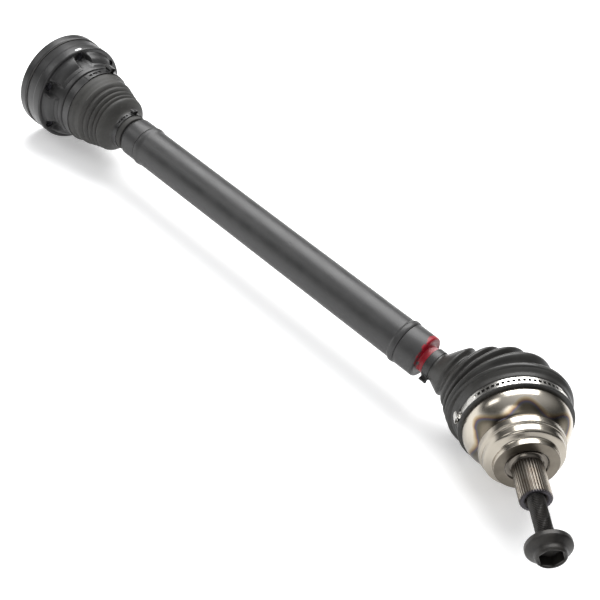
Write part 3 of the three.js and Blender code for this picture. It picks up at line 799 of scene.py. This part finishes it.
def inner_boot_outlines():
    """Outside and inside of the gearbox end's boot: a shoulder, four folds and a dome."""
    outer = [(49.9, 36.0), (49.9, 36.6), (59.8, 36.6), (60.4, 36.5), (61.6, 36.1)]
    outer += wave([(62.0, 36.0), (67.0, 34.4), (71.6, 34.6)])
    folds = (
        (71.6, 34.6), (75.3, 31.3), (78.5, 32.5), (81.3, 29.4), (84.1, 30.9),
        (86.5, 28.0), (88.9, 29.6), (90.9, 27.3), (93.2, 28.7),
    )
    for ridge, dip, far in zip(folds[::2], folds[1::2], folds[2::2]):
        for (x0, r0), (x1, r1) in ((ridge, dip), (far, dip)):
            side = [(x0 + (x1 - x0) * step / 9, r0 + (r1 - r0) * (step / 9) ** 1.7) for step in range(9)]
            outer += side if x0 < x1 else [dip] + side[::-1]
    outer += wave([(93.4, 28.7), (103.3, 18.0)], 14)
    outer += [(103.8, 17.9), (114.4, 17.9), (114.8, 17.5)]
    inner = [(114.8, 15.6), (102, 15.6), (100.4, 18.4), (98, 22.2), (93.6, 25.4), (90.9, 25.7)]
    inner += [(86.4, 26.4), (81.2, 27.7), (75.3, 29.7), (66.6, 32.6), (60.8, 34.9), (49.9, 34.9)]
    return outer, inner


def split_boot(outer, inner, cuts):
    """Cuts a boot's outside and inside outlines at given stations into closed lengths."""
    def crossing(line, at):
        for (x0, r0), (x1, r1) in zip(line, line[1:]):
            if min(x0, x1) <= at <= max(x0, x1) and x0 != x1:
                return at, r0 + (r1 - r0) * (at - x0) / (x1 - x0)
        raise ValueError(at)

    lengths = []
    back = inner[::-1]
    for low, high in zip(cuts, cuts[1:]):
        top = [p for p in outer if low < p[0] < high]
        bottom = [p for p in back if low < p[0] < high]
        first = [crossing(outer, low)] if low > outer[0][0] else [p for p in outer if p[0] == low]
        last = [crossing(outer, high)] if high < outer[-1][0] else [p for p in outer if p[0] == high]
        under_first = [crossing(back, low)] if low > outer[0][0] else [back[0]]
        under_last = [crossing(back, high)] if high < outer[-1][0] else [back[-1]]
        lengths.append(first + top + last + (under_first + bottom + under_last)[::-1])
    return lengths


def place_inner_boot(material):
    """Three lengths of boot, cut from one outline at the given stations."""
    outer, inner = inner_boot_outlines()
    cuts = [outer[0][0], *INNER_BOOT_CUTS, outer[-1][0]]
    lengths = (
        ("inner_boot_mouth", "inner_cage_set", "gearbox_flange", cuts[1], INNER_SEAT_END),
        ("inner_boot_middle", "inner_boot_fold", "inner_cage_set", cuts[2], cuts[1]),
        ("inner_boot_dome", "shaft", "inner_boot_fold", INNER_DOME_FOOT, cuts[2]),
    )
    for (name, near, far, start, end), outline in zip(lengths, split_boot(outer, inner, cuts)):
        piece = revolve(name, outline, material, closed=True, count=144, sharp=50)
        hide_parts("inner_boot")
        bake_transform(piece)


def make_inner_clamps(coating):
    """Black band clamps: a ring with a crimped ear, and over it a tongue with windows and tabs."""
    large_path = hoop(37.1, 30, 332, 3) + [(335, 37.1), (338, 37.12)]
    large = ribbon("inner_large_band", large_path, (50.9, 52.6, 57.3, 59.0), 0.42, coating)
    ear = crimped_ear(37.3, 20, 5.3, 6.6)
    tongue_path = [(336 - 360 + k, 37.62) for k in range(37)] + ear[1:] + hoop(37.3, 28.6, 37, 3)
    tongue = ribbon("inner_large_tongue", tongue_path, (51.2, 53.6, 56.3, 58.7), 0.46, coating,
                    keep=lambda i, j: not (j == 1 and 6 <= i < 27 and i not in (11, 12, 20, 21)))
    finish(join(large, tongue), "gearbox_flange", "clamp_black", "inner_large_clamp")

    ring = ribbon("inner_small_band", hoop(18.4, 22, 304, 4), (104.2, 105.4, 108.2, 109.4), 0.4, coating)
    ear = crimped_ear(18.6, 10, 4.2, 9.5)
    path = [(300 - 360 + 2 * k, 18.88) for k in range(30)] + ear + hoop(18.6, 24, 32, 4)
    tongue = ribbon("inner_small_tongue", path, (104.3, 105.8, 107.8, 109.3), 0.4, coating,
                    keep=lambda i, j: not (j == 1 and 4 <= i < 24 and i % 5))
    finish(join(ring, tongue), "shaft", "clamp_black", "inner_small_clamp")


# ---------------------------------------------------------------- outer joint
def make_housing(steel, teeth_steel):
    """The bell with its stepped hub, and the splined stub."""
    inside = [
        (24.2, 0), (24.2, 22, 2), (20, 28.6, 3), (12, 34, 4), (0, 35.6, 4), (-6, 34.4, 2), (-14, 34.4),
    ]
    bell = [
        (-14, 41.4, 0.4), (-13.1, 42.6, 0.4), (-0.2, 42.6), (0.3, 43.5, 0.3), (2.4, 43.6), (4.6, 43.45),
        (7, 42.9), (9.2, 42.05), (11.2, 40.9), (13, 39.5), (14.6, 37.9), (16.1, 36.1), (17.4, 34.6),
    ]
    hub = [
        (18.6, 33.6, 0.5), (19.8, 33.4, 0.5), (20.2, 34.0, 0.3), (20.9, 34.35, 0.4), (26.3, 34.3, 0.4),
        (26.7, 33.6, 0.2), (27.2, 33.5, 0.2), (27.3, 33.0, 0.2), (27.9, 32.4, 0.3), (33.2, 32.1, 0.9),
        (34.3, 30.9, 0.9), (35.2, 28.2, 0.8), (35.9, 26.3, 0.7), (36.8, 25.95, 0.4), (41.0, 25.7, 0.12),
    ]
    face = [
        (41.3, 25.4, 0.1), (41.3, 17.4, 0.4), (39.7, 16.4, 0.6), (39.5, 13.8, 0.8), (41.0, 11.9, 0.6),
        (42.4, 11.3), (42.4, 10), (28, 10), (28, 0),
    ]
    housing = revolve("wheel_bell", rounded(inside + bell + hub + face), steel, WHEEL_FRAME, 192)
    finish(housing, "wheel_stub", "polished_steel", "outer_housing")

    def toothed(along, radius, angle):
        """Spline teeth that run out by the hub and are chamfered at the tip."""
        if radius < SPLINE_ROOT_R - 0.2 or along > STUB_END - 0.2:
            return along, radius
        turn = (angle * SPLINE_TEETH / TURN) % 1
        flank = smooth(abs(turn - 0.5), 0.36, 0.14)
        runout = smooth(along, 42.6, 45.0)
        chamfer = STUB_END - 0.3 - along + SPLINE_ROOT_R + 0.3
        top = min(SPLINE_R, chamfer)
        return along, SPLINE_ROOT_R + max(0.0, (top - SPLINE_ROOT_R) * flank * runout)

    bore = THREAD_BORE_R + 0.1
    stations = [42.6, 43.2, 43.8, 44.4, 45] + [45.5 + k * 2.8 for k in range(11)]
    stations += [74.1, 74.5, 74.9, STUB_END - 0.25]
    stub = [(31, 0), (31, 9.8), (42.5, 9.8)] + [(x, SPLINE_ROOT_R) for x in stations]
    stub += [(STUB_END, 11.35), (STUB_END, 9.6), (STUB_END - 0.4, 9.1), (STUB_END - 2.3, bore)]
    stub += [(33.8, bore), (32, 3), (32, 0)]
    spline = revolve("stub_spline", stub, teeth_steel, WHEEL_FRAME, SPLINE_TEETH * 14, toothed, sharp=28)
    finish(spline, "wheel_stub", "polished_steel")


def make_bolt(material):
    """The axle bolt: threaded shank, conical flange, collar and hexagon socket."""
    plain = BOLT_SEAT - 6
    across = HEX_FLATS / 2

    def shaped(along, radius, angle):
        """Screw thread on the shank, six flats in the socket."""
        if radius == across:
            part = (math.degrees(angle) + 30) % 60 - 30
            return along, across / math.cos(math.radians(part))
        if radius != THREAD_R or along > plain:
            return along, radius
        turn = (along / THREAD_PITCH - angle / TURN) % 1
        depth = 0.85 * smooth(along, plain, plain - 1.5) * smooth(along, BOLT_TIP, BOLT_TIP + 1.5)
        return along, THREAD_R - depth * (1 - abs(turn - 0.5) * 2)

    steps = round((plain - BOLT_TIP) / (THREAD_PITCH / 6))
    outline = [(BOLT_TIP, 0), (BOLT_TIP, 5.2), (BOLT_TIP + 0.7, 6.1)]
    outline += [(BOLT_TIP + 0.9 + k * (plain - BOLT_TIP - 0.9) / steps, THREAD_R) for k in range(steps + 1)]
    seat, end, flange, collar = BOLT_SEAT, BOLT_HEAD_END, BOLT_FLANGE_R, BOLT_COLLAR_R
    outline += rounded([
        (seat - 1.2, THREAD_R - 0.01), (seat, THREAD_R + 1.1), (seat, flange - 1.0, 0.5),
        (seat + 0.9, flange, 0.6), (seat + 4.5, flange, 0.5), (seat + 5.4, 16.9, 0.7),
        (seat + 7.6, 13.4, 1.2), (seat + 8.6, collar + 0.2, 0.8), (end - 1.3, collar, 0.9),
        (end, collar - 1.2, 0.6), (end, 10.3, 0.2), (end - 0.7, 9.75, 0.2),
    ])
    outline += [(end - 1.1, across), (end - 9, across), (end - 9.2, 7.6), (end - 11, 3), (end - 11.4, 0)]
    bolt = revolve("axle_bolt_detailed", outline, material, WHEEL_FRAME, 120, shaped, sharp=40)
    finish(bolt, "wheel_bolt", "bolt_black", "axle_bolt")


def smooth_line(points, share):
    """A point on the smooth curve through evenly numbered points."""
    place = share * (len(points) - 1)
    i = min(int(place), len(points) - 2)
    t = place - i
    before = points[i - 1] if i else points[0] * 2 - points[1]
    after = points[i + 2] if i + 2 < len(points) else points[-1] * 2 - points[-2]
    here, there = points[i], points[i + 1]
    slope_in, slope_out = (there - before) / 2, (after - here) / 2
    return (here * (2 * t ** 3 - 3 * t ** 2 + 1) + there * (3 * t ** 2 - 2 * t ** 3)
            + slope_in * (t ** 3 - 2 * t ** 2 + t) + slope_out * (t ** 3 - t ** 2))


def boot_rings():
    """Centre x, centre y, tilt and radius of the bent boot at its small end, its ridges and its shoulder."""
    end = OUTER / MM + WHEEL_AXIS * BOOT_FINISH
    rings = [(BOOT_START, 0, 0, BOOT_START_R), *BOOT_RIDGES, (end.x, end.y, math.degrees(BEND), 49.2)]
    return [Vector(ring) for ring in rings]


def fold_valley(share):
    """0 on a ridge and on the plain ends, 1 in a valley; the valleys are narrower than the ridges."""
    fold = share * BOOT_SPAN / FOLD_PITCH
    if not 1 < fold < len(BOOT_RIDGES):
        return 0.0
    return ((1 - math.cos(TURN * fold)) / 2) ** 1.35


def bent_ring(along, radius, count, rings):
    """One ring of the boot: its straight place and radius, taken into the bend."""
    share = min(max(along / BOOT_SPAN, 0.0), 1.0)
    x, y, tilt, _ = smooth_line(rings, share)
    tilt = -math.radians(tilt)
    side = Vector((-math.sin(tilt), math.cos(tilt), 0))
    centre = Vector((x, y, 0)) + Vector((min(along, 0.0), 0, 0)) + WHEEL_AXIS * max(along - BOOT_SPAN, 0.0)
    centre -= side * FOLD_DEPTH * FOLD_SQUEEZE * fold_valley(share)
    ring = []
    for k in range(count):
        angle = TURN * k / count
        upright = Vector((0, 0, radius * math.cos(angle)))
        ring.append(tuple(centre + side * (radius * math.sin(angle)) + upright))
    return ring


def place_outer_boot(material):
    """The bent boot, cut in two across the wheel's axis."""
    rings = boot_rings()

    def radius_at(along):
        share = along / BOOT_SPAN
        return smooth_line(rings, share)[3] - FOLD_DEPTH * (1 - FOLD_SQUEEZE) * fold_valley(share)

    large = BOOT_SPAN - BOOT_FINISH
    outer = [(-8.6, 12.5), (-8.2, BOOT_START_R), (-1.0, BOOT_START_R)]
    outer += [(0.4 * k, radius_at(0.4 * k)) for k in range(1, round(BOOT_SPAN / 0.4) + 1)]
    outer += rounded([
        (BOOT_SPAN + 0.4, 49.0), (BOOT_SPAN + 2.4, 47.0, 1.0), (BOOT_SPAN + 5.9, 46.3, 0.6),
        (BOOT_SPAN + 6.9, 44.8, 0.4), (large - 2.1, 44.8, 0.3), (large - 1.8, 46.8, 0.5),
        (large - 0.3, 46.6, 0.6), (large - 0.3, 43.2),
    ], 3)
    inner = [(large - 0.3, 42.95), (BOOT_SPAN + 1.2, 42.95)]
    for fold in range(len(BOOT_RIDGES) - 1, 0, -1):
        along = (fold + 0.5) * FOLD_PITCH
        inner.append((along, radius_at(along) - 1.5))
    inner += [(0.0, 12.3), (-8.6, 12.3)]
    rings_in_place = [bent_ring(x, r, 144, rings) for x, r in outer + inner]
    points, faces = loft(rings_in_place, True)
    split = OUTER + WHEEL_AXIS * BOOT_SPLIT * MM
    for name, side in (("outer_boot_cone", "DIFFERENCE"), ("outer_boot_mouth", "INTERSECT")):
        whole = mesh_object(name, points, faces, material, sharp=50)
        piece = cut_by_plane(whole, split, WHEEL_AXIS, side)
        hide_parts("outer_boot")
        if name == "outer_boot_cone":
            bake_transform(piece)
        else:
            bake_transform(piece)


def make_outer_clamps(coating, steel):
    """A black pinch clamp on the shaft, a bright perforated band round the bell."""
    ring = ribbon("outer_small_band", hoop(13.35, 240, 560, 5), (497.2, 498.4, 502.0, 503.2), 0.4, coating)
    ear = crimped_ear(13.6, 222, 3.9, 12)
    path = hoop(13.72, 176, 204, 4) + ear + hoop(13.6, 242, 252, 5)
    tongue = ribbon("outer_small_tongue", path, (497.4, 498.6, 501.8, 503.0), 0.42, coating)
    finish(join(ring, tongue), "shaft", "clamp_black", "outer_small_clamp")

    base_path = hoop(LARGE_BAND_R, 30, 259, 3)
    base_path += crimped_ear(LARGE_BAND_R, 266, 4.3, 5.2) + hoop(LARGE_BAND_R, 273, 298, 2.5)
    base = ribbon("outer_large_band", base_path, (-8.9, -6.2, -4.6, -2.3), 0.4, steel, WHEEL_FRAME)
    first, pitch, rows = 285.5, 5.2, 8
    path = [(first + k * pitch / rows, LARGE_TONGUE_R) for k in range(21 * rows)]

    def rounded_tip(i):
        distance = math.radians(path[i][0] - first) * LARGE_TONGUE_R
        return math.sqrt(max(0.04, 1 - (1 - min(distance / 3.2, 1.0)) ** 2))

    def perforated(i, j):
        return not (j == 1 and i > 2 * rows and i % rows < 5)

    tongue = ribbon("outer_large_tongue", path, (-8.8, -7.0, -4.2, -2.4), 0.36, steel, WHEEL_FRAME,
                    perforated, rounded_tip)
    finish(join(base, tongue), "wheel_stub", "stainless", "outer_large_clamp")


make_camera()
make_studio()
tube_paint = painted_black("tube_paint", 0.034, 0.4, 1.0)[0]
joint_paint = flange_paint()
boot_rubber = rubber("boot_rubber", 0.03, 0.6, 1200)
boot_plastic = rubber("boot_plastic", 0.026, 0.38, 700)
make_shaft(tube_paint, stub_paint())
make_inner_joint(joint_paint, boot_rubber)
place_inner_boot(boot_rubber)
clamp_black = clamp_coating()
make_inner_clamps(clamp_black)
make_housing(bell_steel(), spline_steel())
make_bolt(phosphate())
place_outer_boot(boot_plastic)
make_outer_clamps(clamp_black, stainless_band())

floor_place = Matrix.Translation((0.3, 0, FLOOR))
floor_points = [(x * FLOOR_REACH, y * FLOOR_REACH, 0) for x, y in ((-1, -1), (1, -1), (1, 1), (-1, 1))]
floor = mesh_object("floor", floor_points, [(0, 1, 2, 3)], floor_material(), floor_place)
